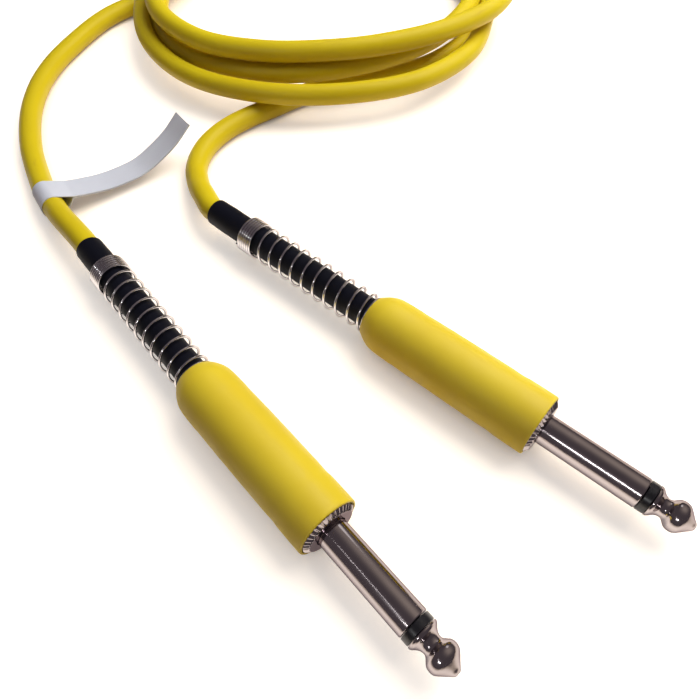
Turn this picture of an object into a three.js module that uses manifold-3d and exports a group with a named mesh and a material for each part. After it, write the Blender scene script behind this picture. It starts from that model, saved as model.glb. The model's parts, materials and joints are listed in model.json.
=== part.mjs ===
// Instrument cable: a coiled yellow cord with a straight 6.35 mm mono phone plug on each end.
// Millimetres, +Z up. The two plugs lie on their barrels on the plane z = 0, tips towards -Y,
// and the coiled cord lies behind them. Each plug is built along its own local +Y axis:
// y = 0 is the front face of its collar, the tip points to +y and the cord leaves to -y.
import * as THREE from "three";
import { mergeVertices } from "three/addons/utils/BufferGeometryUtils.js";
import Module from "manifold-3d";

const wasm = await Module();
wasm.setup();

// ---------------------------------------------------------------- driving dimensions (mm)
const GAP = 0.15;               // clearance between pieces that seat on each other
const RUN = 0.2;                // radial clearance between pieces that turn or slide
const CORD_GAP = 0.3;           // clearance round the cord and its solids

const SHAFT_D = 6.35;           // finger of a quarter-inch plug
const FINGER_L = 30.48;         // collar face to the end of the tip
const RING_START = 20.72;       // where the insulating ring begins
const RING_L = 1.56;            // length of the insulating ring
const RING_INSET = 0.03;        // how far the ring lies below the finger's surface
const TIP_NECK_AT = 2.35;       // narrowest place, behind the insulating ring
const TIP_BALL_AT = 3.3;        // middle of the ball, before the end of the tip
const NECK_D = 3.9;             // narrowest place behind the ball
const BALL_D = 6.3;             // ball of the tip
const NOSE_D = 1.8;             // flat end of the tip
const ROD_D = 1.8;              // centre rod of the tip contact
const TUBE_WALL = 0.6;          // wall of the insulating tube round the rod
const SPIGOT_D = 5.4;           // rear spigot of the sleeve, staked behind the earth tag
const STAKE_L = 0.8;
const STAKE_FLARE = 0.35;
const SEAT_DEPTH = 1.2;         // counterbore that takes the full shaft diameter

const COLLAR_D = 12.0;          // serrated collar
const COLLAR_T = 1.7;           // its thickness
const CHAMFER_R = 1.0;          // radial width of the serrated chamfer
const CHAMFER_H = 0.7;          // axial height of the serrated chamfer
const TEETH = 36;               // serrations round the chamfer
const TOOTH_W = 0.5;            // side of the square cutter of a serration
const THREAD_D = 9.9;           // outside of the thread behind the collar
const THREAD_L = 7.2;           // length of the thread
const THREAD_PITCH = 1.0;
const THREAD_DEPTH = 0.4;
const THREAD_RELIEF = 0.7;      // plain neck between the collar and the thread
const THREAD_PLAY = 0.05;       // more room in the barrel's bore over the thread

const TAG_T = 0.8;              // thickness of the earth tag
const TAG_RIM = 0.2;            // how far its round end reaches past its arm
const TAG_ARM_W = 2.6;
const CLAMP_START = -24.0;      // front of the cable clamp
const CLAMP_L = 4.5;
const CLAMP_WALL = 0.6;
const CLAMP_LOW = 1.2;          // the clamp's open mouth begins this far above the cord's axis
const WASHER_T = 1.0;           // rear insulating washer, as wide as the earth tag's arm lets it be
const LUG_T = 0.6;              // solder lug on the centre rod
const LUG_D = 4.8;
const LUG_ARM_L = 5.4;
const LUG_ARM_W = 1.7;
const RIVET_D = 3.0;            // spread end of the centre rod
const RIVET_L = 0.7;

const SHELL_WALL = 0.65;        // metal barrel under the grip
const SHELL_REAR = -42.2;       // rear end of the metal barrel
const LIP_L = 1.7;              // rear lip that keeps the spring in
const SLEEVE_WALL = 0.5;        // insulating sleeve inside the barrel
const SLEEVE_ROOM = 0.389;      // between the earth tag's arm and the sleeve
const SLEEVE_START = -11.0;
const SLEEVE_L = 20.0;

const GRIP_WALL = 0.55;         // front of the yellow grip, over the collar
const GRIP_WAIST_DROP = 0.15;   // how much thinner its middle is
const GRIP_REAR_DROP = 0.08;    // how much thinner its rear is
const GRIP_FRONT = -0.8;
const GRIP_REAR = -43.2;
const GRIP_FRONT_STEP = -8.2;   // where the front step ends
const GRIP_REAR_STEP = -33.0;   // where the rear step begins
const MOUTH_DEPTH = 1.2;        // how far the grip reaches over the collar, behind its rim
const MOUTH_STEP = 0.1;         // the mouth is at least this much wider than the grip's bore

const SPRING_PLAY = 0.4;        // between the spring and the heat shrink
const WIRE_D = 0.6;
const SPRING_START = -37.4;     // captive end, inside the barrel
const SPRING_END = -83.6;       // free end on the cord
const CAPTIVE_TURNS = 2;
const EXIT_TURNS = 5;
const OPEN_TURNS = 10;
const TIGHT_TURNS = 6;
const CLOSE_PITCH = 0.72;
const EXIT_PITCH = 1.09;

const CORD_D = 6.0;             // yellow jacket
const CORD_FRONT = -22.5;       // front end of the jacket, inside the barrel
const SHRINK_WALL = 0.35;
const SHRINK_FRONT = -30.0;
const SHRINK_REAR = -93.8;
const CORE_D = 1.6;             // insulated signal core
const PIGTAIL_D = 1.3;          // twisted screen
const PIGTAIL_Z = -1.6;         // where it leaves the cord's cut end
const SOLDER_LAP = 1.4;         // how far the core lies along its lug
const PIGTAIL_SHORT = 0.8;      // how much earlier the screen ends

const TAPE_W = 9.0;             // width of the label tape
const TAPE_T = 0.4;             // its doubled thickness
const TAPE_FLAG_L = 42.0;       // free flag, from the cord's centre to its end
const TAPE_RISE = 8.0;          // height that the flag's end curls up
const TAPE_FLAT_L = 22.0;       // how far the flag runs before it curls

const COIL_OUT_R = 66.5;        // outside of the coiled cord
const COIL_IN_R = 45.5;         // inside of it
const COIL_H = 13.5;            // height of the bundle
const LATHE_SIDES = 24;         // sides of the turned pieces
const FINGER_SIDES = 20;        // sides of the finger's pieces
const INNER_SIDES = 16;         // small pieces inside the plug
const WIRE_SIDES = 5;           // sides of the spring's wire
const WIRE_STEPS = 10;          // steps in each turn of the spring

// ---------------------------------------------------------------- where things lie (mm)
const PLUG_A = { x: -4.53, y: 32.22, heading: 40.25 };  // heading: degrees from -Y towards +X
const PLUG_B = { x: 37.49, y: 50.9, heading: 47.75 };
const CORD_Z = CORD_D / 2 + 0.1;
const TAPE_AT = { x: -79.7, y: 125.6, z: 4.2 };        // middle of the loop round lead a
const COIL_X = -5.5;
const COIL_Y = 223.0;
const COIL_LIFT = CORD_D + 0.1 + CORD_GAP;              // its near edge lies on the cord

// ---------------------------------------------------------------- materials
const look = (color, roughness, metalness) => ({ color, roughness, metalness });
const NICKEL = look(0xb9b6b8, 0.18, 1.0);
const BRASS = look(0xc8a54a, 0.3, 1.0);
const TIN = look(0xc9c9c6, 0.35, 1.0);
const YELLOW_GRIP = look(0xe0c22c, 0.6, 0.0);
const YELLOW_JACKET = look(0xe2d019, 0.45, 0.0);
const BLACK = look(0x101218, 0.5, 0.0);
const CLEAR_WHITE = look(0xe8e8e2, 0.5, 0.0);
const COPPER = look(0xb87040, 0.4, 1.0);
const PAPER = look(0xeef0f4, 0.8, 0.0);

// ---------------------------------------------------------------- helpers
const root = new THREE.Group();

function outward(geometry) {
  const p = geometry.attributes.position;
  const idx = geometry.index.array;
  const a = new THREE.Vector3();
  const b = new THREE.Vector3();
  const c = new THREE.Vector3();
  let volume = 0;
  for (let i = 0; i < idx.length; i += 3) {
    a.fromBufferAttribute(p, idx[i]);
    b.fromBufferAttribute(p, idx[i + 1]);
    c.fromBufferAttribute(p, idx[i + 2]);
    volume += a.dot(b.cross(c));
  }
  if (volume < 0) {
    for (let i = 0; i < idx.length; i += 3) {
      const swap = idx[i + 1];
      idx[i + 1] = idx[i + 2];
      idx[i + 2] = swap;
    }
  }
  return geometry;
}

function welded(geometry) {
  const g = geometry.clone();
  g.deleteAttribute("normal");
  g.deleteAttribute("uv");
  return outward(mergeVertices(g, 1e-4));
}

function toSolid(geometry) {
  const g = welded(geometry);
  const vertProperties = new Float32Array(g.attributes.position.array);
  const triVerts = new Uint32Array(g.index.array);
  return new wasm.Manifold(new wasm.Mesh({ numProp: 3, vertProperties, triVerts }));
}

function fromSolid(solid) {
  const mesh = solid.getMesh();
  const g = new THREE.BufferGeometry();
  g.setAttribute("position", new THREE.BufferAttribute(new Float32Array(mesh.vertProperties), 3));
  g.setIndex(new THREE.BufferAttribute(new Uint32Array(mesh.triVerts), 1));
  g.computeVertexNormals();
  return g;
}

function add(parent, name, geometry, finish) {
  const mesh = new THREE.Mesh(geometry, new THREE.MeshStandardMaterial(finish));
  mesh.name = name;
  parent.add(mesh);
  return mesh;
}

// A turned solid: the profile is a list of [radius, y].
function turned(profile, sides = LATHE_SIDES) {
  return outward(new THREE.LatheGeometry(profile.map(([r, y]) => new THREE.Vector2(r, y)), sides));
}

// A turned ring: inner and outer radius between two stations.
function ring(rIn, rOut, y0, y1, sides = INNER_SIDES) {
  return turned([[rIn, y0], [rOut, y0], [rOut, y1], [rIn, y1], [rIn, y0]], sides);
}

function slab(sx, sy, sz, x, y, z) {
  return new THREE.BoxGeometry(sx, sy, sz).translate(x, y, z);
}

function circleShape(radius, sides) {
  const shape = new THREE.Shape();
  for (let i = 0; i <= sides; i += 1) {
    const t = (2 * Math.PI * i) / sides;
    const x = radius * Math.cos(t);
    const y = radius * Math.sin(t);
    if (i === 0) shape.moveTo(x, y);
    else shape.lineTo(x, y);
  }
  return shape;
}

function tube(curve, diameter, sides, steps) {
  const options = { steps, extrudePath: curve, curveSegments: 1, bevelEnabled: false };
  return new THREE.ExtrudeGeometry(circleShape(diameter / 2, sides), options);
}

// ---------------------------------------------------------------- the plug's pieces
const shaftR = SHAFT_D / 2;
const ringEnd = RING_START + RING_L;
const rodR = ROD_D / 2;
const tubeIn = rodR + GAP;
const tubeOut = tubeIn + TUBE_WALL;
const shaftBore = tubeOut + GAP;
const spigotR = SPIGOT_D / 2;
const collarR = COLLAR_D / 2;
const threadR = THREAD_D / 2;
const threadEnd = -COLLAR_T - THREAD_L;
const tagFront = threadEnd - GAP;
const tagRear = tagFront - TAG_T;
const stakeFront = tagRear - GAP;
const spigotEnd = stakeFront - STAKE_L;
const washerFront = spigotEnd - GAP;
const washerRear = washerFront - WASHER_T;
const lugFront = washerRear - GAP;
const lugRear = lugFront - LUG_T;
const rivetFront = lugRear - GAP;
const rivetRear = rivetFront - RIVET_L;
const threadBore = threadR + RUN + THREAD_PLAY;
const shellFront = -COLLAR_T - GAP;
const threadRear = threadEnd - GAP;      // where the barrel's threaded bore ends
const lipFront = SHELL_REAR + LIP_L;
const cordR = CORD_D / 2;
const armIn = cordR + CORD_GAP;
const armOut = armIn + CLAMP_WALL;
const tagR = armOut + TAG_RIM;
const washerR = armIn - RUN;
const sleeveIn = Math.hypot(armOut, TAG_ARM_W / 2) + SLEEVE_ROOM;
const sleeveOut = sleeveIn + SLEEVE_WALL;
const shellBore = sleeveOut + RUN;
const shellR = Math.max(shellBore, threadBore) + SHELL_WALL;
const gripIn = shellR + GAP;
const mouthR = Math.max(collarR + RUN, gripIn + MOUTH_STEP);
const gripR = mouthR + GRIP_WALL;
const shrinkIn = cordR + RUN;
const shrinkOut = shrinkIn + SHRINK_WALL;
const springR = shrinkOut + SPRING_PLAY + WIRE_D;
const lipBore = springR + RUN;
const axisZ = gripR;            // the barrels lie on the plane z = 0

function tipContact() {
  const front = ringEnd + GAP;
  const neck = front + TIP_NECK_AT;
  const ball = FINGER_L - TIP_BALL_AT;
  const profile = [
    [0, rivetRear], [RIVET_D / 2, rivetRear], [RIVET_D / 2, rivetFront], [rodR, rivetFront],
    [rodR, front], [shaftR - 0.05, front], [shaftR, front + 0.35],
    [NECK_D / 2 + 0.55, front + 1.25], [NECK_D / 2 + 0.1, neck - 0.35],
    [NECK_D / 2, neck], [NECK_D / 2 + 0.3, neck + 0.35],
    [BALL_D / 2 - 0.28, ball - 1.0], [BALL_D / 2 - 0.04, ball - 0.35], [BALL_D / 2, ball],
    [BALL_D / 2 - 0.06, ball + 0.4], [BALL_D / 2 - 0.42, ball + 1.1],
    [NOSE_D / 2 + 0.25, FINGER_L - 0.35],
    [NOSE_D / 2, FINGER_L], [0, FINGER_L],
  ];
  return turned(profile, FINGER_SIDES);
}

function tipInsulator() {
  const ringR = shaftR - RING_INSET;
  return turned([
    [tubeIn, spigotEnd], [tubeOut, spigotEnd], [tubeOut, RING_START], [ringR, RING_START],
    [ringR, ringEnd], [tubeIn, ringEnd], [tubeIn, spigotEnd],
  ], FINGER_SIDES);
}

function sleeveShaft() {
  const end = RING_START - GAP;
  const seat = -SEAT_DEPTH + GAP;
  return turned([
    [shaftBore, spigotEnd], [spigotR + STAKE_FLARE, spigotEnd], [spigotR + STAKE_FLARE, stakeFront],
    [spigotR, stakeFront], [spigotR, seat], [shaftR, seat], [shaftR, end - 0.25],
    [shaftR - 0.2, end], [shaftBore, end], [shaftBore, spigotEnd],
  ], FINGER_SIDES);
}

function collar() {
  const bore = shaftR + GAP;
  const rearBore = spigotR + GAP;
  const rootR = threadR - THREAD_DEPTH;
  const flange = turned([
    [bore, 0], [collarR - CHAMFER_R, 0], [collarR, -CHAMFER_H], [collarR, -COLLAR_T],
    [rearBore, -COLLAR_T], [rearBore, -SEAT_DEPTH], [bore, -SEAT_DEPTH], [bore, 0],
  ], TEETH);
  const profile = [[rearBore, -SEAT_DEPTH - 0.1], [rootR, -SEAT_DEPTH - 0.1]];
  const crests = Math.floor((THREAD_L - THREAD_RELIEF) / THREAD_PITCH);
  for (let i = 0; i < crests; i += 1) {
    const y = -COLLAR_T - THREAD_RELIEF - i * THREAD_PITCH;
    profile.push([rootR, y], [threadR, y - THREAD_PITCH / 2]);
  }
  profile.push([rootR, threadEnd], [rearBore, threadEnd], [rearBore, -SEAT_DEPTH - 0.1]);
  let body = toSolid(flange).add(toSolid(turned(profile, FINGER_SIDES)));
  const slope = Math.hypot(CHAMFER_R, CHAMFER_H);
  const tilt = Math.atan2(CHAMFER_H, CHAMFER_R);
  for (let i = 0; i < TEETH; i += 1) {
    const cut = new THREE.BoxGeometry(slope + 1.2, TOOTH_W * 0.7, TOOTH_W * 0.7);
    cut.rotateX(Math.PI / 4);
    cut.rotateZ(-tilt);
    cut.translate(collarR - CHAMFER_R / 2 + 0.08, -CHAMFER_H / 2 + 0.08, 0);
    cut.rotateY((2 * Math.PI * (i + 0.5)) / TEETH);
    body = body.subtract(toSolid(cut));
  }
  return fromSolid(body);
}

function earthTag() {
  const rIn = spigotR + GAP;
  const armZ = -(armIn + CLAMP_WALL / 2);
  const armFront = tagRear + TAG_T / 2;
  const armL = armFront - CLAMP_START + CLAMP_L / 2;
  let body = toSolid(ring(rIn, tagR, tagRear, tagFront));
  body = body.add(toSolid(slab(TAG_ARM_W, armL, CLAMP_WALL, 0, armFront - armL / 2, armZ)));
  const clip = toSolid(ring(armIn, armOut, CLAMP_START - CLAMP_L, CLAMP_START));
  const mouthZ = CLAMP_LOW + armIn;
  const mouth = slab(2 * armIn, CLAMP_L + 2, 2 * armIn, 0, CLAMP_START - CLAMP_L / 2, mouthZ);
  body = body.add(clip.subtract(toSolid(mouth)));
  return fromSolid(body);
}

function tipLug() {
  const base = ring(rodR + GAP, LUG_D / 2, lugRear, lugFront);
  const arm = slab(LUG_ARM_W, LUG_ARM_L, LUG_T, 0, lugFront - LUG_ARM_L / 2, LUG_D / 2 - LUG_T / 2);
  return fromSolid(toSolid(base).add(toSolid(arm)));
}

function shell() {
  const r = shellR;
  return turned([
    [threadBore, shellFront], [r, shellFront], [r, SHELL_REAR + 3.6], [r - 0.35, SHELL_REAR + 2.2],
    [r - 0.85, SHELL_REAR + 0.9], [lipBore + 0.25, SHELL_REAR], [lipBore, SHELL_REAR],
    [lipBore, lipFront], [shellBore, lipFront], [shellBore, threadRear - GAP],
    [threadBore, threadRear], [threadBore, shellFront],
  ]);
}

function grip() {
  const rF = gripR;
  const rW = gripR - GRIP_WAIST_DROP;
  const rR = gripR - GRIP_REAR_DROP;
  const inR = gripIn;
  return turned([
    [mouthR, GRIP_FRONT], [rF - 0.3, GRIP_FRONT], [rF - 0.08, GRIP_FRONT - 0.15],
    [rF, GRIP_FRONT - 0.45], [rF, GRIP_FRONT_STEP], [rW, GRIP_FRONT_STEP - 0.9],
    [rW, GRIP_REAR_STEP], [rR, GRIP_REAR_STEP - 0.9], [rR, GRIP_REAR + 5.0],
    [rR - 0.1, GRIP_REAR + 3.9], [rR - 0.3, GRIP_REAR + 2.9], [rR - 0.65, GRIP_REAR + 1.9],
    [rR - 1.1, GRIP_REAR + 1.0], [rR - 1.55, GRIP_REAR + 0.3], [lipBore + 0.1, GRIP_REAR],
    [lipBore + 0.05, SHELL_REAR - GAP], [lipBore + 0.25 + GAP, SHELL_REAR - GAP],
    [inR - 0.8, SHELL_REAR + 0.9], [inR - 0.3, SHELL_REAR + 2.2], [inR, SHELL_REAR + 3.6],
    [inR, GRIP_FRONT - MOUTH_DEPTH], [mouthR, GRIP_FRONT - MOUTH_DEPTH], [mouthR, GRIP_FRONT],
  ]);
}

class SpringCurve extends THREE.Curve {
  constructor() {
    super();
    this.arcLengthDivisions = 5000;
    const centre = springR - WIRE_D / 2;
    const wide = shellBore - RUN - WIRE_D / 2;
    const openY0 = SPRING_START - CAPTIVE_TURNS * CLOSE_PITCH - EXIT_TURNS * EXIT_PITCH;
    const openY1 = SPRING_END + WIRE_D / 2 + TIGHT_TURNS * CLOSE_PITCH;
    this.keys = [
      [0, SPRING_START, wide],
      [CAPTIVE_TURNS, SPRING_START - CAPTIVE_TURNS * CLOSE_PITCH, wide],
      [CAPTIVE_TURNS + 1, SPRING_START - CAPTIVE_TURNS * CLOSE_PITCH - EXIT_PITCH, centre],
      [CAPTIVE_TURNS + EXIT_TURNS, openY0, centre],
      [CAPTIVE_TURNS + EXIT_TURNS + OPEN_TURNS, openY1, centre],
      [CAPTIVE_TURNS + EXIT_TURNS + OPEN_TURNS + TIGHT_TURNS, SPRING_END + WIRE_D / 2, centre],
    ];
    this.turns = this.keys[this.keys.length - 1][0];
  }

  getPoint(t, target = new THREE.Vector3()) {
    const turn = t * this.turns;
    let k = 1;
    while (k < this.keys.length - 1 && turn > this.keys[k][0]) k += 1;
    const [t0, y0, r0] = this.keys[k - 1];
    const [t1, y1, r1] = this.keys[k];
    const f = (turn - t0) / (t1 - t0);
    const r = r0 + (r1 - r0) * f;
    const a = 2 * Math.PI * turn;
    return target.set(r * Math.cos(a), y0 + (y1 - y0) * f, r * Math.sin(a));
  }
}

function spring() {
  const curve = new SpringCurve();
  return tube(curve, WIRE_D, WIRE_SIDES, Math.round(curve.turns * WIRE_STEPS));
}

// A wire from the cord's cut end to a solder place.
function wire(z0, z1, y1, diameter) {
  const y0 = CORD_FRONT + CORD_GAP;
  const mid = (y0 + y1) / 2;
  const pts = [[0, y0, z0], [0, mid, z0 + (z1 - z0) * 0.5], [0, y1, z1]];
  const curve = new THREE.CatmullRomCurve3(pts.map((p) => new THREE.Vector3(...p)));
  return tube(curve, diameter, 8, 5);
}

function buildPlug(side, place) {
  const heading = THREE.MathUtils.degToRad(place.heading);
  const direction = new THREE.Vector3(Math.sin(heading), -Math.cos(heading), 0);
  const group = new THREE.Group();
  group.position.set(place.x, place.y, axisZ);
  group.quaternion.setFromUnitVectors(new THREE.Vector3(0, 1, 0), direction);
  root.add(group);
  const lugZ = LUG_D / 2 - LUG_T - GAP - CORE_D / 2;
  const tagZ = -armIn + GAP + PIGTAIL_D / 2;
  add(group, `tip_contact_${side}`, tipContact(), NICKEL);
  add(group, `tip_insulator_${side}`, tipInsulator(), BLACK);
  add(group, `sleeve_shaft_${side}`, sleeveShaft(), NICKEL);
  add(group, `threaded_collar_${side}`, collar(), NICKEL);
  add(group, `earth_tag_clamp_${side}`, earthTag(), TIN);
  add(group, `rear_washer_${side}`, ring(rodR + GAP, washerR, washerRear, washerFront), BLACK);
  add(group, `tip_solder_lug_${side}`, tipLug(), BRASS);
  add(group, `barrel_shell_${side}`, shell(), NICKEL);
  const liner = ring(sleeveIn, sleeveOut, SLEEVE_START - SLEEVE_L, SLEEVE_START, LATHE_SIDES);
  add(group, `barrel_liner_${side}`, liner, CLEAR_WHITE);
  add(group, `barrel_grip_${side}`, grip(), YELLOW_GRIP);
  add(group, `relief_spring_${side}`, spring(), NICKEL);
  add(group, `heat_shrink_${side}`, ring(shrinkIn, shrinkOut, SHRINK_REAR, SHRINK_FRONT), BLACK);
  const coreEnd = lugFront - LUG_ARM_L + SOLDER_LAP;
  add(group, `signal_core_${side}`, wire(0, lugZ, coreEnd, CORE_D), CLEAR_WHITE);
  add(group, `screen_pigtail_${side}`, wire(PIGTAIL_Z, tagZ, coreEnd - PIGTAIL_SHORT, PIGTAIL_D), COPPER);
  group.updateMatrixWorld(true);
  return (y, x = 0, z = 0) => new THREE.Vector3(x, y, z).applyMatrix4(group.matrixWorld);
}

const onPlugA = buildPlug("a", PLUG_A);
const onPlugB = buildPlug("b", PLUG_B);

// ---------------------------------------------------------------- the cord
function lead(onPlug, points, steps) {
  const path = new THREE.CurvePath();
  const start = onPlug(CORD_FRONT);
  const leave = onPlug(SHRINK_REAR - 1.6);
  path.add(new THREE.LineCurve3(start, leave));
  const rest = [leave, onPlug(SHRINK_REAR - 3.2), ...points.map((p) => new THREE.Vector3(...p))];
  path.add(new THREE.CatmullRomCurve3(rest, false, "centripetal"));
  return tube(path, CORD_D, 10, steps);
}

const leadAPoints = [
  [-73.4, 116.5, 5.7], [-76.5, 120.8, 4.8], [-79.7, 125.6, 4.1], [-82.8, 130.7, 3.6],
  [-85.5, 136.0, 3.2], [-88.1, 141.5, CORD_Z], [-90.6, 147.4, CORD_Z], [-94.1, 158.6, CORD_Z],
  [-96.3, 170.5, CORD_Z], [-96.6, 182.6, CORD_Z], [-94.7, 194.3, CORD_Z], [-91.0, 205.2, CORD_Z],
  [-86.2, 216.2, CORD_Z], [-82.6, 222.0, CORD_Z], [-78.4, 226.6, CORD_Z], [-72.3, 231.4, CORD_Z],
];
const leadBPoints = [
  [-37.0, 122.3, 6.1], [-38.8, 126.5, 4.9], [-40.2, 131.1, 3.9], [-41.2, 136.2, 3.3],
  [-40.7, 142.4, CORD_Z],
  [-38.9, 147.6, CORD_Z], [-36.3, 151.8, CORD_Z], [-33.1, 155.5, CORD_Z],
  [-27.8, 159.8, CORD_Z], [-21.9, 163.5, CORD_Z], [-16.0, 166.5, CORD_Z],
];
add(root, "cable_lead_a", lead(onPlugA, leadAPoints, 34), YELLOW_JACKET);
add(root, "cable_lead_b", lead(onPlugB, leadBPoints, 22), YELLOW_JACKET);

function coil() {
  const w = (COIL_OUT_R - COIL_IN_R) / 2;
  const h = COIL_H / 2;
  const mid = (COIL_OUT_R + COIL_IN_R) / 2;
  const profile = [];
  const corners = 12;
  for (let i = 0; i <= corners; i += 1) {
    const t = (2 * Math.PI * (i % corners)) / corners;
    const c = Math.cos(t);
    const s = Math.sin(t);
    const bulge = 1 / (Math.abs(c) ** 3 + Math.abs(s) ** 3) ** (1 / 3);
    profile.push([mid + w * c * bulge, h * s * bulge]);
  }
  const g = turned(profile, 36);
  g.rotateX(Math.PI / 2);
  const tilt = Math.asin(COIL_LIFT / (2 * mid));
  g.rotateX(-tilt);
  g.computeBoundingBox();
  return g.translate(COIL_X, COIL_Y, -g.boundingBox.min.z);
}
add(root, "cable_coil", coil(), YELLOW_JACKET);

// Label tape: a loop round the cord whose two ends are stuck together as a flag.
function labelTape() {
  const rIn = cordR + CORD_GAP;
  const rOut = rIn + TAPE_T;
  const half = TAPE_T / 2;
  const sides = 20;
  const curlL = TAPE_FLAG_L - TAPE_FLAT_L;
  const rise = (d) => TAPE_RISE * Math.max(0, (d - TAPE_FLAT_L) / curlL) ** 1.6;
  const flag = [];
  for (let i = 0; i <= 12; i += 1) {
    const d = rOut - 0.1 + ((TAPE_FLAG_L - rOut + 0.1) * i) / 12;
    flag.push([d, rise(d)]);
  }
  const shape = new THREE.Shape();
  const start = Math.asin(half / rOut);
  shape.moveTo(rOut * Math.cos(start), rOut * Math.sin(start));
  for (let i = 1; i < sides; i += 1) {
    const t = start + ((2 * Math.PI - 2 * start) * i) / sides;
    shape.lineTo(rOut * Math.cos(t), rOut * Math.sin(t));
  }
  shape.lineTo(rOut * Math.cos(start), -rOut * Math.sin(start));
  for (let i = 1; i < flag.length; i += 1) shape.lineTo(flag[i][0], flag[i][1] - half);
  for (let i = flag.length - 1; i > 0; i -= 1) shape.lineTo(flag[i][0], flag[i][1] + half);
  shape.closePath();
  const hole = new THREE.Path();
  for (let i = 0; i <= sides; i += 1) {
    const t = (-2 * Math.PI * i) / sides;
    if (i === 0) hole.moveTo(rIn * Math.cos(t), rIn * Math.sin(t));
    else hole.lineTo(rIn * Math.cos(t), rIn * Math.sin(t));
  }
  shape.holes.push(hole);
  const g = new THREE.ExtrudeGeometry(shape, { depth: TAPE_W, bevelEnabled: false, curveSegments: 1 });
  g.translate(0, 0, -TAPE_W / 2);
  return g;
}
const tape = add(root, "label_tape", labelTape(), PAPER);
// The tape's x runs along its flag, its y is up and its z runs along the cord.
const tapeAlong = new THREE.Vector3(-0.534, 0.839, -0.1).normalize();
const tapeFlag = new THREE.Vector3(0.839, 0.534, 0).normalize();
const tapeUp = new THREE.Vector3().crossVectors(tapeFlag, tapeAlong).normalize();
const tapeAxis = new THREE.Vector3().crossVectors(tapeFlag, tapeUp);
tape.quaternion.setFromRotationMatrix(new THREE.Matrix4().makeBasis(tapeFlag, tapeUp, tapeAxis));
tape.position.set(TAPE_AT.x, TAPE_AT.y, TAPE_AT.z);

// ---------------------------------------------------------------- origin
// The origin is under the middle of the two plugs, on the plane they lie on.
root.updateMatrixWorld(true);
const onCord = ["cable_lead_a", "cable_lead_b", "cable_coil", "label_tape"];
const box = new THREE.Box3();
root.traverse((o) => {
  if (o.isMesh && !onCord.includes(o.name)) box.expandByObject(o, true);
});
const middle = box.getCenter(new THREE.Vector3());
root.position.set(-middle.x, -middle.y, -box.min.z);
root.updateMatrixWorld(true);

export default root;
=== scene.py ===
"""Looks of the instrument cable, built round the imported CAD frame.

Sizes below are in millimetres, in a plug's own frame or in the row frame, and become metres where
a mesh is made. A plug's own frame has y = 0 at the front face of its collar, +y to the tip and
+z up.
"""
import json
import math

import bpy
import numpy as np
from mathutils import Matrix, Vector


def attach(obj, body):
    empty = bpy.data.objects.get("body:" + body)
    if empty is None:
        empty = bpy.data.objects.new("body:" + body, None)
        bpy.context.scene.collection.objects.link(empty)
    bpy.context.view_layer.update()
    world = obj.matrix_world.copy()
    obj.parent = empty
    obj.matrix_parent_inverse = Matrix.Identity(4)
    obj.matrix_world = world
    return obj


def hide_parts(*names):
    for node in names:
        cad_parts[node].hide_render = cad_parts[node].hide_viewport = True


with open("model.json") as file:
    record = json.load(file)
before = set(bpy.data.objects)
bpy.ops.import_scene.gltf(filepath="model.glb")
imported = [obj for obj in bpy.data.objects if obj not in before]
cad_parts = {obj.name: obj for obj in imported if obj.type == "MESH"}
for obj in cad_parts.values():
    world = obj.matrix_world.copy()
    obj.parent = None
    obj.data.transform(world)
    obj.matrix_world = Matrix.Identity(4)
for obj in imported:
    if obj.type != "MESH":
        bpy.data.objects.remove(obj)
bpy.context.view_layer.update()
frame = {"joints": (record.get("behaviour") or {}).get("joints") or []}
scene = bpy.context.scene
scene.view_settings.view_transform = "Standard"
MM = 0.001
TAU = 2 * math.pi

# ------------------------------------------------------------------ camera
LENS_MM = 30.6
EYE = Vector((3.595, -62.485, 113.44)) * MM
LOOK_DOWN = math.radians(56.31)
ROLL = math.radians(-2.12)


def make_camera():
    data = bpy.data.cameras.new("camera")
    data.lens = LENS_MM
    data.sensor_width = 36.0
    data.clip_start = 0.005
    data.clip_end = 20.0
    cam = bpy.data.objects.new("camera", data)
    scene.collection.objects.link(cam)
    turn = Matrix.Rotation(math.pi / 2 - LOOK_DOWN, 4, "X") @ Matrix.Rotation(ROLL, 4, "Z")
    cam.matrix_world = Matrix.Translation(EYE) @ turn
    scene.camera = cam


make_camera()


# ------------------------------------------------------------------ plug frames
def plug_frame(side):
    """Turns a plug's own frame into the row frame, in metres."""
    joint = next(j for j in frame["joints"] if j["name"] == f"barrel_turn_{side}")
    y = -Vector(joint["axis"]).normalized()
    z = Vector((0, 0, 1))
    x = y.cross(z)
    m = Matrix((x, y, z)).transposed().to_4x4()
    m.translation = Vector(joint["pos_m"])
    return m


PLUG = {side: plug_frame(side) for side in "ab"}


# Behind its barrel each cord leans aside a little: sideways shift for each millimetre of length.
LEAN = {"a": -0.032, "b": -0.006}
LEAN_FROM = -42.0


def lean(side, y):
    return LEAN[side] * max(0.0, LEAN_FROM - y)


def on_plug(side, y):
    """A point of the leaning axis in the row frame, in millimetres."""
    return np.array(PLUG[side] @ Vector((lean(side, y) * MM, y * MM, 0))) / MM


# ------------------------------------------------------------------ mesh helpers
def mesh_piece(name, verts, faces, uvs=None, sharp=40, matrix=None):
    """verts in millimetres; uvs is one pair for each vertex."""
    mesh = bpy.data.meshes.new(name)
    mesh.from_pydata([tuple(c * MM for c in v) for v in verts], [], faces)
    mesh.validate()
    if uvs is not None:
        layer = mesh.uv_layers.new(name="uv")
        for loop in mesh.loops:
            layer.data[loop.index].uv = uvs[loop.vertex_index]
    mesh.polygons.foreach_set("use_smooth", [True] * len(mesh.polygons))
    mesh.set_sharp_from_angle(angle=math.radians(sharp))
    o = bpy.data.objects.new(name, mesh)
    scene.collection.objects.link(o)
    if matrix is not None:
        o.matrix_world = matrix
    return o


FILLET_SHARE = 0.45  # of a profile's side, the most that one fillet takes
NO_FILLET = 1e-4


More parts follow.
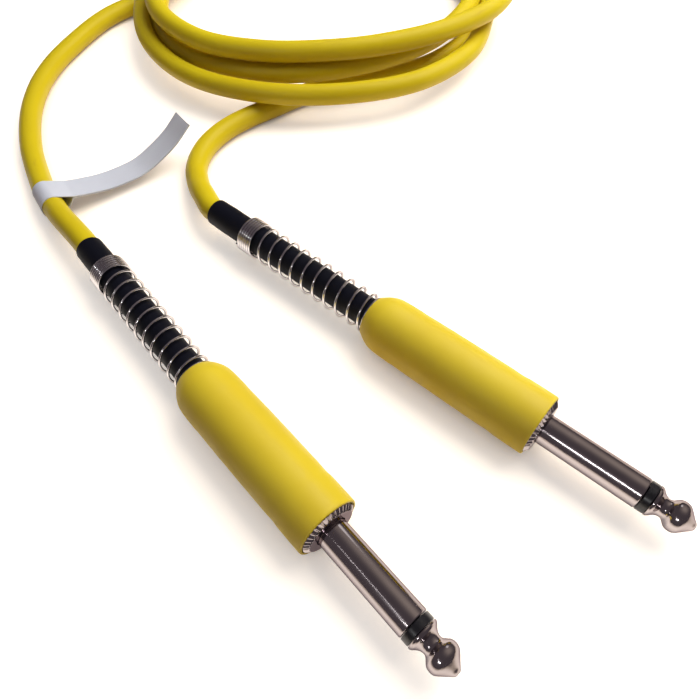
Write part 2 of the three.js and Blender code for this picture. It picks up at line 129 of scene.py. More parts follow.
def rounded(profile, steps=5):
    """Rounds the corners of a closed profile of (radius, y, fillet)."""
    out = []
    n = len(profile)
    for i, (r, y, fillet) in enumerate(profile):
        p = np.array((r, y), float)
        a = np.array(profile[i - 1][:2], float) - p
        b = np.array(profile[(i + 1) % n][:2], float) - p
        la, lb = np.linalg.norm(a), np.linalg.norm(b)
        cut = min(fillet, FILLET_SHARE * la, FILLET_SHARE * lb)
        if cut < NO_FILLET:
            out.append(tuple(p))
            continue
        start, end = p + a / la * cut, p + b / lb * cut
        for k in range(steps + 1):
            t = k / steps
            out.append(tuple((1 - t) ** 2 * start + 2 * t * (1 - t) * p + t * t * end))
    return out


def turned(name, profile, side, segments=96, warp=None, sharp=40, fillets=True, lean_over=False):
    """A turned piece on a plug's axis, from a closed profile. warp(angle, r, y) moves a vertex."""
    points = rounded(profile) if fillets else [p[:2] for p in profile]
    verts, faces, ring = [], [], []
    for r, y in points:
        if r < 1e-6:
            ring.append([len(verts)] * segments)
            verts.append((0.0, y, 0.0))
            continue
        ids = []
        for k in range(segments):
            t = TAU * k / segments
            rr, yy = warp(t, r, y) if warp else (r, y)
            ids.append(len(verts))
            aside = lean(side, yy) if lean_over else 0.0
            verts.append((rr * math.cos(t) + aside, yy, rr * math.sin(t)))
        ring.append(ids)
    for i in range(len(points)):
        a, b = ring[i], ring[(i + 1) % len(points)]
        if a[0] == a[1] and b[0] == b[1]:
            continue
        for k in range(segments):
            k2 = (k + 1) % segments
            quad = [a[k], a[k2], b[k2], b[k]]
            face = [v for j, v in enumerate(quad) if v != quad[j - 1]]
            faces.append(face[::-1])
    return mesh_piece(name, verts, faces, sharp=sharp, matrix=PLUG[side])


def sweep(name, points, radius, sides, matrix=None, sharp=60):
    """A capped round tube along points, in millimetres. Its uv is (turn, length in metres)."""
    p = np.asarray(points, float)
    tangent = np.gradient(p, axis=0)
    tangent /= np.linalg.norm(tangent, axis=1)[:, None]
    up = np.array((0.0, 0.0, 1.0))
    if abs(tangent[0] @ up) > 0.9:
        up = np.array((1.0, 0.0, 0.0))
    along = np.concatenate([[0], np.cumsum(np.linalg.norm(np.diff(p, axis=0), axis=1))])
    verts, uvs, faces = [], [], []
    for i, (c, t) in enumerate(zip(p, tangent)):
        up = up - (up @ t) * t
        up /= np.linalg.norm(up)
        across = np.cross(t, up)
        r = radius[i] if np.ndim(radius) else radius
        for k in range(sides):
            a = TAU * k / sides
            verts.append(c + r * (math.cos(a) * up + math.sin(a) * across))
            uvs.append((k / sides, along[i] * MM))
    for i in range(len(p) - 1):
        for k in range(sides):
            k2 = (k + 1) % sides
            faces.append((i * sides + k, i * sides + k2, (i + 1) * sides + k2, (i + 1) * sides + k))
    faces.append(tuple(range(sides))[::-1])
    faces.append(tuple((len(p) - 1) * sides + k for k in range(sides)))
    return mesh_piece(name, verts, faces, uvs=uvs, sharp=sharp, matrix=matrix)


SAMPLES_PER_SPAN = 24


def through(points, spacing):
    """Points about spacing apart on a centripetal Catmull-Rom curve through the given ones."""
    p = np.asarray(points, float)
    p = np.vstack([2 * p[0] - p[1], p, 2 * p[-1] - p[-2]])
    out = []
    for i in range(1, len(p) - 2):
        q = p[i - 1 : i + 3]
        t = np.concatenate([[0], np.cumsum(np.linalg.norm(np.diff(q, axis=0), axis=1) ** 0.5)])
        for s in np.linspace(t[1], t[2], SAMPLES_PER_SPAN, endpoint=False):
            a1, a2, a3 = (
                ((t[k + 1] - s) * q[k] + (s - t[k]) * q[k + 1]) / (t[k + 1] - t[k])
                for k in range(3)
            )
            b1 = ((t[2] - s) * a1 + (s - t[0]) * a2) / (t[2] - t[0])
            b2 = ((t[3] - s) * a2 + (s - t[1]) * a3) / (t[3] - t[1])
            out.append(((t[2] - s) * b1 + (s - t[1]) * b2) / (t[2] - t[1]))
    line = np.array(out + [p[-2]])
    along = np.concatenate([[0], np.cumsum(np.linalg.norm(np.diff(line, axis=0), axis=1))])
    at = np.linspace(0, along[-1], int(along[-1] / spacing) + 1)
    return np.stack([np.interp(at, along, line[:, k]) for k in range(3)], axis=1)


# ------------------------------------------------------------------ the cord's route
CORD_D = 6.0
CORD_SIDES = 32
CORD_FRONT = -22.5
STRAIGHT_END = -95.4
FLOOR_Z = 3.1
ORIGIN = np.array((3.595, -62.485, 0.0))  # from the source's own coordinates to the row frame
LEAD_A = [
    (-73.4, 116.5, 5.7), (-76.5, 120.8, 4.8), (-79.7, 125.6, 4.1), (-82.8, 130.7, 3.6),
    (-85.5, 136.0, 3.2), (-88.1, 141.5, FLOOR_Z), (-90.6, 147.4, FLOOR_Z), (-94.1, 158.6, FLOOR_Z),
    (-96.3, 170.5, FLOOR_Z), (-96.6, 182.6, FLOOR_Z), (-94.7, 194.3, FLOOR_Z),
    (-91.0, 205.2, FLOOR_Z), (-86.2, 216.2, FLOOR_Z), (-82.6, 222.0, FLOOR_Z),
    (-78.4, 226.6, FLOOR_Z), (-72.3, 231.4, FLOOR_Z),
]
LEAD_B = [
    (-37.0, 122.3, 6.1), (-38.8, 126.5, 4.9), (-40.2, 131.1, 3.9), (-41.2, 136.2, 3.3),
    (-40.7, 142.4, FLOOR_Z), (-38.9, 147.6, FLOOR_Z), (-36.3, 151.8, FLOOR_Z),
    (-33.1, 155.5, FLOOR_Z), (-27.8, 159.8, FLOOR_Z), (-21.9, 163.5, FLOOR_Z),
]
# The coil's turns as (angle in degrees, radius, height) round COIL_AT, from lead a to lead b.
COIL_AT = (-1.775, 160.807)
TURNS = [
    (147, 56.5, 3.1), (120, 57.5, 3.1), (90, 60.0, 3.1), (60, 61.0, 3.4), (30, 60.5, 4.6),
    (0, 59.0, 7.0), (-24, 59.0, 8.8), (-43, 63.0, 9.1), (-63, 64.4, 9.2), (-85, 63.0, 9.2),
    (-108, 63.5, 9.3), (-130, 64.5, 9.2), (-154, 63.5, 9.2),
    (-180, 62.2, 9.2), (-205, 61.8, 9.2), (-230, 60.5, 9.2), (-270, 58.0, 9.2), (-310, 56.3, 9.3),
    (-345, 54.6, 9.8), (-375, 52.6, 10.3), (-405, 51.0, 10.3), (-430, 50.4, 10.1),
    (-457, 53.0, 10.2), (-480, 56.3, 10.1), (-505, 58.2, 9.6),
    (-540, 56.0, 10.5), (-585, 56.5, 12.5), (-630, 59.0, 15.3), (-675, 62.5, 15.8),
    (-705, 65.0, 16.3), (-725, 65.8, 16.5), (-748, 63.0, 16.5), (-768, 57.6, 16.5),
    (-790, 53.1, 16.4), (-807, 52.0, 16.4), (-828, 53.7, 16.4), (-850, 57.0, 16.5),
    (-875, 57.8, 16.7),
    (-900, 54.5, 16.8), (-945, 50.5, 13.3), (-990, 50.0, 9.0), (-1035, 51.5, 5.0),
    (-1080, 54.0, 3.2), (-1105, 54.6, 3.1), (-1125, 52.4, 3.1), (-1145, 50.0, 3.1),
    (-1161, 49.7, 3.1), (-1173, 51.4, 3.1),
]


def coil_point(angle, radius, height):
    t = math.radians(angle)
    return (COIL_AT[0] + radius * math.cos(t), COIL_AT[1] + radius * math.sin(t), height)


def cord_route():
    a_end, b_end = on_plug("a", STRAIGHT_END), on_plug("b", STRAIGHT_END)
    a_out, b_out = on_plug("a", STRAIGHT_END - 1.6), on_plug("b", STRAIGHT_END - 1.6)
    free = [a_end, a_out]
    free += [np.array(p) + ORIGIN for p in LEAD_A]
    free += [np.array(coil_point(*key)) for key in TURNS]
    free += [np.array(p) + ORIGIN for p in LEAD_B[::-1]]
    free += [b_out, b_end]
    line = through(free, 1.6)
    a_in = np.linspace(on_plug("a", CORD_FRONT), a_end, 40, endpoint=False)
    b_in = np.linspace(b_end, on_plug("b", CORD_FRONT), 40)
    return np.vstack([a_in, line, b_in[1:]])


ROUTE = cord_route()
cord = sweep("cord_jacket", ROUTE, CORD_D / 2, CORD_SIDES)


# ------------------------------------------------------------------ materials
class Nodes:
    """A short way to write a node material."""

    def __init__(self, name):
        self.material = bpy.data.materials.new(name)
        self.material.use_nodes = True
        self.tree = self.material.node_tree
        self.shader = self.tree.nodes["Principled BSDF"]

    def add(self, kind, inputs=None, **settings):
        node = self.tree.nodes.new(kind)
        for key, value in settings.items():
            setattr(node, key, value)
        for key, value in (inputs or {}).items():
            self.put(value, node.inputs[key])
        return node

    def put(self, value, socket):
        if isinstance(value, bpy.types.NodeSocket):
            self.tree.links.new(value, socket)
        else:
            socket.default_value = value

    def set(self, **inputs):
        for key, value in inputs.items():
            self.put(value, self.shader.inputs[key.replace("_", " ")])

    def where(self):
        """The place on the part, in metres, in its own frame."""
        return self.add("ShaderNodeTexCoord").outputs["Object"]

    def math(self, operation, a, b=0.0, clamp=False):
        node = self.add("ShaderNodeMath", {0: a, 1: b}, operation=operation)
        node.use_clamp = clamp
        return node.outputs[0]

    def noise(self, place, scale, detail=3.0, rough=0.5, stretch=None):
        if stretch is not None:
            place = self.add(
                "ShaderNodeMapping", {"Vector": place, "Scale": stretch}
            ).outputs["Vector"]
        node = self.add(
            "ShaderNodeTexNoise",
            {"Vector": place, "Scale": scale, "Detail": detail, "Roughness": rough},
        )
        return node.outputs["Fac"]

    def ramp(self, value, *stops):
        """stops are (position, value or colour)."""
        node = self.add("ShaderNodeValToRGB", {"Fac": value})
        cells = node.color_ramp.elements
        while len(cells) < len(stops):
            cells.new(0.5)
        for cell, (at, colour) in zip(cells, stops):
            if not isinstance(colour, tuple):
                colour = (colour, colour, colour)
            cell.position = at
            cell.color = (*colour, 1.0)
        return node.outputs["Color"]

    def mix(self, factor, a, b):
        node = self.add("ShaderNodeMix", data_type="RGBA")
        self.put(factor, node.inputs[0])
        for socket, value in ((node.inputs[6], a), (node.inputs[7], b)):
            self.put((*value, 1.0) if isinstance(value, tuple) else value, socket)
        return node.outputs[2]

    def bump(self, height, distance, strength=1.0):
        node = self.add(
            "ShaderNodeBump", {"Height": height, "Distance": distance, "Strength": strength}
        )
        self.put(node.outputs["Normal"], self.shader.inputs["Normal"])


EDGE_TINT = (0.30, 0.27, 0.30)  # how much of a grazing reflection a worn plating keeps


def metal(name, colour, roughness, lines=True, spread=0.05):
    """Turned metal: fine lines round the axis, a faint haze and slight variations of tone."""
    m = Nodes(name)
    at = m.where()
    haze = m.noise(at, 260, 4)
    tone = m.mix(
        m.ramp(haze, (0.3, 0.0), (0.75, 1.0)),
        tuple(c * (1 - spread) for c in colour),
        tuple(min(1, c * (1 + spread)) for c in colour),
    )
    m.set(Base_Color=tone, Metallic=1.0, Specular_Tint=(*EDGE_TINT, 1.0))
    smear = m.noise(at, 90, 2)
    m.set(Roughness=m.ramp(smear, (0.3, roughness * 0.75), (0.7, roughness * 1.35)))
    if lines:
        turning = m.noise(at, 1.0, 2, stretch=(60, 9000, 60))
        m.bump(turning, 0.000002, 0.12)
    else:
        m.bump(m.noise(at, 3000, 2), 0.000002, 0.1)
    return m.material


def rubber(name, light, dark, roughness, grain, depth, coat=0.0):
    """Soft moulded plastic with a fine grain."""
    m = Nodes(name)
    at = m.where()
    cloud = m.noise(at, 45, 3)
    speck = m.noise(at, grain, 3)
    tone = m.mix(m.ramp(cloud, (0.35, 0.0), (0.7, 1.0)), dark, light)
    tone = m.mix(m.ramp(speck, (0.62, 0.0), (0.8, 0.35)), tone, dark)
    m.set(Base_Color=tone, Coat_Weight=coat, Coat_Roughness=0.3)
    m.set(Roughness=m.ramp(m.noise(at, 120, 2), (0.3, roughness * 0.85), (0.7, roughness * 1.15)))
    m.bump(speck, depth, 0.5)
    return m.material


NICKEL_TONE = (0.44, 0.395, 0.40)
nickel = metal("nickel", NICKEL_TONE, 0.13)
wire_steel = metal("spring_steel", (0.72, 0.70, 0.71), 0.15, lines=False)
tinned = metal("tinned_steel", (0.55, 0.55, 0.56), 0.3, lines=False)
brass = metal("brass", (0.72, 0.50, 0.18), 0.25, lines=False)
copper = metal("copper", (0.78, 0.36, 0.20), 0.28, lines=False)
black_plastic = rubber(
    "black_plastic", (0.013, 0.013, 0.016), (0.007, 0.007, 0.009), 0.3, 2500, 1e-6
)
white_plastic = rubber(
    "white_plastic", (0.72, 0.71, 0.68), (0.62, 0.61, 0.58), 0.4, 1500, 2e-6
)
grip_yellow = rubber("grip_yellow", (0.76, 0.585, 0.024), (0.70, 0.515, 0.019), 0.55, 1600, 8e-6)
shrink_black = rubber(
    "heat_shrink", (0.0045, 0.0050, 0.0110), (0.0025, 0.0030, 0.0065), 0.6, 1200, 3e-6
)
shrink_black.node_tree.nodes["Principled BSDF"].inputs["Specular IOR Level"].default_value = 0.22


def jacket_material():
    """Yellow PVC: soft gloss, faint scuffs along the cord and a slight orange-peel."""
    m = Nodes("jacket_yellow")
    at = m.where()
    length = m.add("ShaderNodeUVMap", uv_map="uv").outputs["UV"]
    cloud = m.noise(at, 22, 3)
    tone = m.mix(m.ramp(cloud, (0.3, 0.0), (0.7, 1.0)), (0.60, 0.455, 0.006), (0.70, 0.555, 0.009))
    scuff = m.noise(length, 1.0, 3, 0.6, stretch=(9, 70, 1))
    tone = m.mix(m.ramp(scuff, (0.60, 0.0), (0.72, 0.45)), tone, (0.54, 0.385, 0.02))
    speck = m.noise(at, 900, 2)
    m.set(Base_Color=tone)
    m.set(Roughness=m.ramp(scuff, (0.35, 0.40), (0.7, 0.52)), Specular_IOR_Level=0.28)
    m.bump(speck, 0.00001, 0.35)
    return m.material


def tape_material():
    """Matte cloth tape with a faint weave and a slight random variation of tone."""
    m = Nodes("tape_white")
    at = m.where()
    weave = m.add(
        "ShaderNodeTexWave", {"Vector": at, "Scale": 900, "Distortion": 0.4}, bands_direction="X"
    ).outputs["Fac"]
    cross = m.add(
        "ShaderNodeTexWave", {"Vector": at, "Scale": 900, "Distortion": 0.4}, bands_direction="Y"
    ).outputs["Fac"]
    height = m.math("ADD", weave, cross)
    tone = m.mix(m.noise(at, 160, 3), (0.60, 0.63, 0.72), (0.68, 0.71, 0.79))
    m.set(Base_Color=tone, Roughness=0.62)
    m.bump(height, 0.000012, 0.35)
    return m.material


jacket_yellow = jacket_material()
tape_white = tape_material()


def dress(o, material, body, slot, *nodes):
    """Gives a piece its material and its body and hides the CAD nodes it stands for; its slot is
    not used.
    """
    o.data.materials.clear()
    o.data.materials.append(material)
    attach(o, body)
    if nodes:
        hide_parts(*nodes)
    return o


# ------------------------------------------------------------------ plug pieces
def tip_contact(side):
    profile = [
        (0, -13.6, 0), (1.5, -13.6, 0.1), (1.5, -12.9, 0.1), (0.9, -12.9, 0), (0.9, 22.43, 0),
        (3.12, 22.43, 0.04), (3.175, 22.55, 0.04), (3.175, 22.8, 0.1), (2.95, 23.15, 0.1),
        (2.44, 23.62, 0.4), (2.08, 24.1, 0.5), (1.93, 24.65, 0.5), (1.93, 25.0, 0.3),
        (2.12, 25.38, 0.35),
        (2.55, 25.8, 0.35), (2.98, 26.28, 0.35), (3.13, 26.75, 0.3), (3.16, 27.2, 0.3),
        (3.12, 27.62, 0.3), (2.98, 28.02, 0.3), (2.68, 28.42, 0.3), (2.24, 28.86, 0.5),
        (1.78, 29.3, 0.5), (1.34, 29.72, 0.35), (0.98, 30.12, 0.3), (0.62, 30.42, 0.2),
        (0.4, 30.48, 0.05), (0, 30.48, 0),
    ]
    o = turned(f"visual_tip_{side}", profile, side, 96, sharp=50)
    dress(o, nickel, "cable", "nickel", f"tip_contact_{side}")


def tip_insulator(side):
    profile = [
        (1.05, -8.7, 0), (1.65, -8.7, 0.1), (1.65, 20.72, 0), (3.1, 20.72, 0.03),
        (3.145, 20.85, 0.05), (3.145, 22.15, 0.05), (3.1, 22.28, 0.03), (1.05, 22.28, 0),
    ]
    o = turned(f"visual_ring_{side}", profile, side, 96)
    dress(o, black_plastic, "cable", "black_plastic", f"tip_insulator_{side}")


def sleeve_shaft(side):
    profile = [
        (1.8, -9.7, 0), (2.95, -9.7, 0.1), (2.95, -9.0, 0.1), (2.7, -8.9, 0), (2.7, -1.05, 0),
        (3.175, -1.05, 0.05), (3.175, 20.34, 0.1), (3.1, 20.5, 0.05), (2.98, 20.57, 0.05),
        (1.8, 20.57, 0),
    ]
    o = turned(f"visual_shaft_{side}", profile, side, 128)
    dress(o, nickel, "cable", "nickel", f"sleeve_shaft_{side}")


COLLAR_BORE_R = 2.85
TEETH = 36
TOOTH_DEPTH = 0.24
TOOTH_FOOT_R, TOOTH_REAR = 5.0, -1.1  # where the teeth start on the face and end on the rim
TOOTH_DOWN = (0.57, 0.82)  # a tooth's depth as a share of radius and of y


def collar_flange(side):
    """Flange with its serrated chamfer and its lathed face."""

    def serrate(angle, r, y):
        if r < TOOTH_FOOT_R + 0.02 or y < TOOTH_REAR:
            return r, y
        depth = min(1.0, (r - TOOTH_FOOT_R) / 0.12) * min(1.0, (y - TOOTH_REAR) / 0.3)
        wave = abs(((angle * TEETH / TAU) % 1.0) * 2 - 1)
        cut = TOOTH_DEPTH * depth * min(1.0, wave * 1.25)
        return r - cut * TOOTH_DOWN[0], y - cut * TOOTH_DOWN[1]

    profile = [
        (3.325, 0, 0.06), (5.0, 0, 0.03), (5.1, -0.07, 0), (5.25, -0.175, 0), (5.5, -0.35, 0),
        (5.75, -0.525, 0), (6.0, -0.7, 0.03), (6.0, -0.82, 0), (6.0, -0.95, 0), (6.0, -1.1, 0),
        (6.0, -1.7, 0.08), (COLLAR_BORE_R, -1.7, 0), (COLLAR_BORE_R, -1.2, 0), (3.325, -1.2, 0),
    ]
    return turned(f"visual_collar_{side}", profile, side, TEETH * 16, warp=serrate, sharp=25)


def collar_thread(side):
    """Threaded neck behind the flange: a helical V thread of 1 mm pitch, 0.4 mm deep."""
    root, depth, pitch = 4.55, 0.4, 1.0
    front, rear = -1.75, -8.9
    front_fade, front_run = 2.4, 0.7
    rear_fade, rear_run = 8.7, 0.4
    steps, sides = 288, 96
    verts, faces = [], []

    def crest(angle, y):
        phase = ((y - front) / pitch + angle / TAU) % 1.0
        fade = min(1.0, max(0.0, (-y - front_fade) / front_run))
        fade *= min(1.0, max(0.0, (rear_fade + y) / rear_run))
        return root + depth * fade * max(0.0, 1 - abs(phase * 2 - 1) * 1.15) ** 0.9

    for i in range(steps + 1):
        y = front + (rear - front) * i / steps
        for k in range(sides):
            t = TAU * k / sides
            r = crest(t, y)
            verts.append((r * math.cos(t), y, r * math.sin(t)))
    inner = len(verts)
    for y in (rear, front):
        for k in range(sides):
            t = TAU * k / sides
            verts.append((COLLAR_BORE_R * math.cos(t), y, COLLAR_BORE_R * math.sin(t)))
    rows = [list(range(i * sides, (i + 1) * sides)) for i in range(steps + 1)]
    rows += [list(range(inner, inner + sides)), list(range(inner + sides, inner + 2 * sides))]
    for i in range(len(rows)):
        a, b = rows[i], rows[(i + 1) % len(rows)]
        for k in range(sides):
            k2 = (k + 1) % sides
            faces.append((a[k], a[k2], b[k2], b[k]))
    return mesh_piece(f"visual_thread_{side}", verts, faces, sharp=35, matrix=PLUG[side])


def collar(side):
    dress(collar_flange(side), nickel, "cable", "nickel", f"threaded_collar_{side}")
    dress(collar_thread(side), nickel, "cable", "nickel", f"threaded_collar_{side}")


def barrel_shell(side):
    profile = [
        (5.2, -1.85, 0.05), (5.85, -1.85, 0.1), (5.85, -38.6, 0.5), (5.5, -40.0, 0.5),
        (5.0, -41.3, 0.4), (5.0, -42.2, 0.1), (4.75, -42.2, 0.08), (4.75, -40.5, 0.05),
        (5.2, -40.5, 0.05), (5.2, -9.2, 0), (5.2, -9.05, 0),
    ]
    o = turned(f"visual_shell_{side}", profile, side, 96)
    dress(o, nickel, f"barrel_{side}", "nickel", f"barrel_shell_{side}")


GRIP_R = 6.75
GRIP_STEPS, GRIP_STEP = 65, 0.55


def barrel_grip(side):
    """Soft yellow sleeve: faint rings from its moulding and a slightly uneven skin."""
    swell = [
        (-0.8, 0.0), (-7.4, 0.0), (-8.6, -0.09), (-10.5, -0.05), (-13.0, 0.0), (-29.0, 0.0),
        (-31.5, -0.04), (-33.2, -0.1), (-34.4, -0.01),
    ]

    def skin(angle, r, y):
        if r < 6.3 or y > -0.9 or y < -42.0:
            return r, y
        ease = sum(0.010 * math.sin(y * f + 1.7 * n) for n, f in enumerate((0.9, 1.7, 0.37)))
        ease += 0.008 * math.sin(3 * angle + y * 0.3)
        return min(GRIP_R, r + ease - 0.02), y

    outer = [(6.42, -0.8, 0.1), (6.67, -0.95, 0.1), (GRIP_R, -1.3, 0.15)]
    for i in range(1, GRIP_STEPS + 1):
        y = -1.3 - i * GRIP_STEP
        drop = np.interp(-y, [-s[0] for s in swell] + [38.0], [s[1] for s in swell] + [-0.08])
        outer.append((GRIP_R + float(drop), y, 0))
    outer += [
        (6.66, -38.0, 0.3), (6.57, -39.3, 0.5), (6.3, -40.4, 0.6), (5.85, -41.5, 0.7),
        (5.35, -42.4, 0.7), (4.95, -42.95, 0.4), (4.86, -43.2, 0.12),
    ]
    inner = [
        (4.8, -42.35, 0), (5.15, -42.35, 0.05), (5.2, -41.3, 0.3), (5.7, -40.0, 0.3),
        (6.0, -38.6, 0.3), (6.0, -2.0, 0.0), (6.2, -2.0, 0.03),
    ]
    profile = [(6.2, -0.8, 0.08)] + outer + inner
    o = turned(f"visual_grip_{side}", profile, side, 128, warp=skin)
    dress(o, grip_yellow, f"barrel_{side}", "yellow_grip", f"barrel_grip_{side}")


# The spring's coil as (turn, y, radius), from its wide front end to its close-wound rear end.
SPRING_KEYS = [
    (0, -37.4, 4.7), (2, -38.84, 4.7), (3, -39.93, 4.25), (7, -44.29, 4.25), (8, -47.35, 4.25),
    (17, -78.98, 4.25), (23, -83.3, 4.25),
]
SPRING_TURNS = 23
SPRING_STEPS = 40  # for each turn
WIRE_R = 0.3
WIRE_SIDES = 14


def relief_spring(side):
    turns, ys, radii = zip(*SPRING_KEYS)
    count = SPRING_TURNS * SPRING_STEPS
    points = []
    for i in range(count + 1):
        turn = SPRING_TURNS * i / count
        a = TAU * turn
        r = float(np.interp(turn, turns, radii))
        y = float(np.interp(turn, turns, ys))
        points.append((r * math.cos(a) + lean(side, y), y, r * math.sin(a)))
    o = sweep(f"visual_spring_{side}", points, WIRE_R, WIRE_SIDES, matrix=PLUG[side])
    dress(o, wire_steel, f"spring_{side}", "nickel", f"relief_spring_{side}")


SHRINK_END = {"a": -92.4, "b": -95.0}
SHRINK_R, SHRINK_BORE_R = 3.5, 3.2
SHRINK_SEED = {"a": 11, "b": 12}


def heat_shrink(side):
    """Shrunk tube with slight waists where it settled on the cord."""
    rng = np.random.default_rng(SHRINK_SEED[side])
    phase = rng.uniform(0, TAU, 6)

    def settle(angle, r, y):
        if r < 3.4:
            return r, y
        dip = 0.03 * math.sin(y * 0.42 + phase[0]) + 0.02 * math.sin(y * 0.95 + phase[1])
        dip += 0.015 * math.sin(2 * angle + y * 0.21 + phase[2])
        return min(3.55, r + dip - 0.06), y

    end = SHRINK_END[side]
    profile = [(SHRINK_BORE_R, -30.0, 0.05), (SHRINK_R, -30.0, 0.1)]
    profile += [(SHRINK_R, y, 0) for y in np.linspace(-30.6, end + 0.6, 106)]
    profile += [(SHRINK_R, end, 0.12), (SHRINK_BORE_R, end, 0.05)]
    profile += [(SHRINK_BORE_R, LEAN_FROM, 0), (SHRINK_BORE_R, LEAN_FROM + 2.0, 0)]
    o = turned(f"visual_shrink_{side}", profile, side, 72, warp=settle, lean_over=True)
    dress(o, shrink_black, "cable", "black_plastic", f"heat_shrink_{side}")


PLUG_PIECES = (
    tip_contact, tip_insulator, sleeve_shaft, collar, barrel_shell, barrel_grip, relief_spring,
    heat_shrink,
)
for side in "ab":
    for build in PLUG_PIECES:
        build(side)


# ------------------------------------------------------------------ label tape
TAPE_AT = np.array((-79.7, 125.6, 4.2)) + ORIGIN
TAPE_W = 9.0
TAPE_T = 0.2
LOOP_PLAY = 0.04  # between the cord and the tape round it
LOOP_ARC = (62, 305, 6)  # the loop's first and last angle and its step, in degrees
LOOP_UPPER, LOOP_LOWER = (4.0, 1.62, 0), (3.7, -1.35, 0)  # where the two layers leave the loop
LAYER_GAP = 0.02
SAG, SAG_FROM, SAG_OVER, SAG_WIDTH = 0.06, 20, 20, 3
FLAG_DIRECTION = Vector((0.839, 0.534, 0)).normalized()
# The flag's line as (distance from the cord, height over the cord's centre).
FLAG = [
    (5.6, 0.75), (9.4, -0.2), (14.9, -1.25), (20.3, -1.5), (25.7, -1.15), (31.2, 0.7),
    (36.6, 3.25), (41.9, 7.0),
]


def label_tape():
    """One strip folded round the cord and stuck to itself: a small loop, then a doubled flag."""
    near = int(np.argmin(np.linalg.norm(ROUTE - TAPE_AT, axis=1)))
    centre = Vector(ROUTE[near])
    along = Vector(ROUTE[near + 2] - ROUTE[near - 2]).normalized()
    flag = (FLAG_DIRECTION - FLAG_DIRECTION.dot(along) * along).normalized()
    lift = flag.cross(along)
    if lift.z < 0:
        lift = -lift
    loop_r = CORD_D / 2 + LOOP_PLAY + TAPE_T / 2
    flag_line = through([(d, h, 0) for d, h in FLAG], 0.5)[:, :2]
    slope = np.gradient(flag_line, axis=0)
    slope /= np.linalg.norm(slope, axis=1)[:, None]
    side = np.stack([-slope[:, 1], slope[:, 0]], axis=1)
    half = (TAPE_T + LAYER_GAP) / 2
    turn = [math.radians(a) for a in np.arange(*LOOP_ARC)]
    loop = [(loop_r * math.cos(a), loop_r * math.sin(a), 0) for a in turn]
    upper = flag_line + side * half
    lower = flag_line - side * half
    ring = through([(*upper[0], 0), LOOP_UPPER] + loop + [LOOP_LOWER, (*lower[0], 0)], 0.4)
    line = np.vstack([upper[::-1], ring[1:-1, :2], lower])
    tangent = np.gradient(line, axis=0)
    tangent /= np.linalg.norm(tangent, axis=1)[:, None]
    normal = np.stack([-tangent[:, 1], tangent[:, 0]], axis=1)
    across = np.linspace(-TAPE_W / 2, TAPE_W / 2, 9)
    verts, faces = [], []
    for sign in (1, -1):
        for p, n in zip(line, normal):
            q = p + n * sign * TAPE_T * 0.48
            for w in across:
                sag = SAG * max(0.0, (q[0] - SAG_FROM) / SAG_OVER) * (w / SAG_WIDTH) ** 2
                verts.append(centre + flag * q[0] + lift * (q[1] + sag) + along * w)
    n, k = len(line), len(across)

    def top(i, j):
        return i * k + j

    def low(i, j):
        return n * k + i * k + j

    for i in range(n - 1):
        for j in range(k - 1):
            faces.append((top(i, j), top(i, j + 1), top(i + 1, j + 1), top(i + 1, j)))
            faces.append((low(i, j), low(i + 1, j), low(i + 1, j + 1), low(i, j + 1)))
        faces.append((top(i, 0), top(i + 1, 0), low(i + 1, 0), low(i, 0)))
        faces.append((top(i + 1, k - 1), top(i, k - 1), low(i, k - 1), low(i + 1, k - 1)))
    for j in range(k - 1):
        faces.append((top(0, j + 1), top(0, j), low(0, j), low(0, j + 1)))
        faces.append((top(n - 1, j), top(n - 1, j + 1), low(n - 1, j + 1), low(n - 1, j)))
    o = mesh_piece("visual_label_tape", verts, faces, sharp=50)
    return dress(o, tape_white, "cable", "white_tape", "label_tape")


tape = label_tape()
dress(cord, jacket_yellow, "cable", "yellow_jacket", "cable_lead_a", "cable_coil", "cable_lead_b")

# ------------------------------------------------------------------ CAD pieces inside the plugs
INSIDE = {
    "barrel_liner": white_plastic, "earth_tag_clamp": tinned, "rear_washer": black_plastic,
    "tip_solder_lug": brass, "signal_core": white_plastic, "screen_pigtail": copper,
}
for stem, material in INSIDE.items():
    for side in "ab":
        node = bpy.data.objects[f"{stem}_{side}"]
        node.data.materials.clear()
        node.data.materials.append(material)


# ------------------------------------------------------------------ floor and light
FLOOR_GLOW = 0.87  # the floor's own light, as the camera sees it: 1 is white
FLOOR_WARMTH = (1, 0.975, 0.94, 1)
FLOOR_HALF = 2500.0
FLOOR_STEPS = 8
FLOOR_DROP = -0.02
PAINTED_SHADE_REACH = 0.014  # metres over which ambient occlusion paints shade onto the floor's glow near a piece
MIRROR_NEAR, MIRROR_FAR = (0.02, 1.0), (0.09, 0.08)  # distance in metres, share of glow mirrored


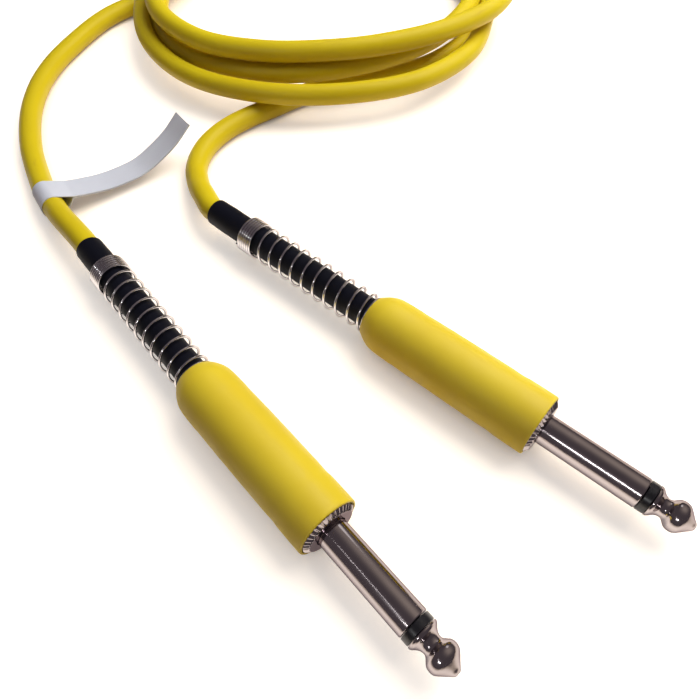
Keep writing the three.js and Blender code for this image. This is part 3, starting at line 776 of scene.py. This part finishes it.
def make_floor():
    """A pale floor: white to the camera, dimmer in reflections from afar, with its shadows and with
    painted shade from ambient occlusion on its glow near the pieces.
    """
    m = Nodes("floor_white")
    tone = m.mix(m.noise(m.where(), 6, 2), (0.86, 0.74, 0.60), (0.88, 0.76, 0.62))
    m.set(Base_Color=tone, Roughness=0.9, Specular_IOR_Level=0.0)
    path = m.add("ShaderNodeLightPath").outputs
    far = m.ramp(path["Ray Length"], MIRROR_NEAR, MIRROR_FAR)
    mirrored = m.math("MULTIPLY", path["Is Glossy Ray"], far)
    seen = m.math("ADD", path["Is Camera Ray"], mirrored)
    seen = m.math("ADD", seen, path["Is Transmission Ray"], clamp=True)
    # painted shade: ambient occlusion darkens the floor's glow near and under the pieces
    painted_contact_shade = m.add("ShaderNodeAmbientOcclusion", {"Distance": PAINTED_SHADE_REACH}).outputs["AO"]
    seen = m.math("MULTIPLY", seen, painted_contact_shade)
    m.set(Emission_Color=FLOOR_WARMTH, Emission_Strength=m.math("MULTIPLY", seen, FLOOR_GLOW))
    xs = np.linspace(-FLOOR_HALF, FLOOR_HALF, FLOOR_STEPS + 1)
    verts = [(x, y, FLOOR_DROP) for y in xs for x in xs]
    row = FLOOR_STEPS + 1
    faces = [
        (j * row + i, j * row + i + 1, (j + 1) * row + i + 1, (j + 1) * row + i)
        for j in range(FLOOR_STEPS)
        for i in range(FLOOR_STEPS)
    ]
    floor = mesh_piece("stage_floor", verts, faces)
    floor.data.materials.append(m.material)


ROOM_DARK = (0.105, 0.088, 0.098, 1)
ROOM_GLOW = (0.42, 0.36, 0.32, 1)
ROOM_GLOW_AT = Vector((0.50, 0.44, 0.745)).normalized()
ROOM_GLOW_FOCUS = 9.0
WHITE = (1, 1, 1, 1)


def make_world():
    """A dim room: dark overhead, a soft warm glow high on the right, white to the camera."""
    world = bpy.data.worlds.new("world")
    world.use_nodes = True
    tree = world.node_tree
    scene.world = world

    def put(value, socket):
        if isinstance(value, bpy.types.NodeSocket):
            tree.links.new(value, socket)
        else:
            socket.default_value = value

    def node(kind, inputs=None, **settings):
        n = tree.nodes.new(kind)
        for key, value in settings.items():
            setattr(n, key, value)
        for key, value in (inputs or {}).items():
            put(value, n.inputs[key])
        return n

    def blend(factor, a, b):
        return node("ShaderNodeMix", {0: factor, 6: a, 7: b}, data_type="RGBA").outputs[2]

    towards = node("ShaderNodeTexCoord").outputs["Generated"]
    glow_at = {0: towards, 1: tuple(ROOM_GLOW_AT)}
    dot = node("ShaderNodeVectorMath", glow_at, operation="DOT_PRODUCT").outputs["Value"]
    focus = {0: dot, 1: ROOM_GLOW_FOCUS}
    lobe = node("ShaderNodeMath", focus, operation="POWER", use_clamp=True).outputs[0]
    room = blend(lobe, ROOM_DARK, ROOM_GLOW)
    shown = blend(node("ShaderNodeLightPath").outputs["Is Camera Ray"], room, WHITE)
    background = tree.nodes["Background"]
    put(shown, background.inputs["Color"])
    background.inputs["Strength"].default_value = 1.0


# Lamps as (name, place, aim, size, watts, colour, rays that it isn't seen by). The key has no
# mirror image. The window and the two tubes are seen only as reflections in the metal.
NEUTRAL = (1, 1, 1)
KEY_TONE = (1, 0.985, 0.95)
LAMPS = [
    ("key", (0.19, 0.18, 0.33), (0, 0.04, 0), (0.34, 0.34), 2.3, KEY_TONE, "glossy"),
    ("window", (0.28, 0.66, 0.44), (0, 0.05, 0), (0.24, 0.24), 0.15, NEUTRAL, "diffuse"),
    (
        "ceiling_tube", (-0.33, -0.485, 0.543), (0.05, -0.02, 0), (0.26, 0.014), 0.7, NEUTRAL,
        "diffuse",
    ),
    (
        "low_tube", (-0.45, -0.265, 0.62), (0.008, -0.04, 0), (0.26, 0.012), 0.05, NEUTRAL,
        "diffuse",
    ),
]


def area_light(name, place, aim, size, power, colour, unseen_by):
    data = bpy.data.lights.new(name, "AREA")
    data.shape = "RECTANGLE"
    data.size, data.size_y = size
    data.energy = power
    data.color = colour
    o = bpy.data.objects.new(name, data)
    scene.collection.objects.link(o)
    o.location = place
    o.rotation_euler = (Vector(aim) - Vector(place)).to_track_quat("-Z", "Y").to_euler()
    setattr(o, f"visible_{unseen_by}", False)
    o.visible_camera = False


make_floor()
make_world()
for lamp in LAMPS:
    area_light(*lamp)
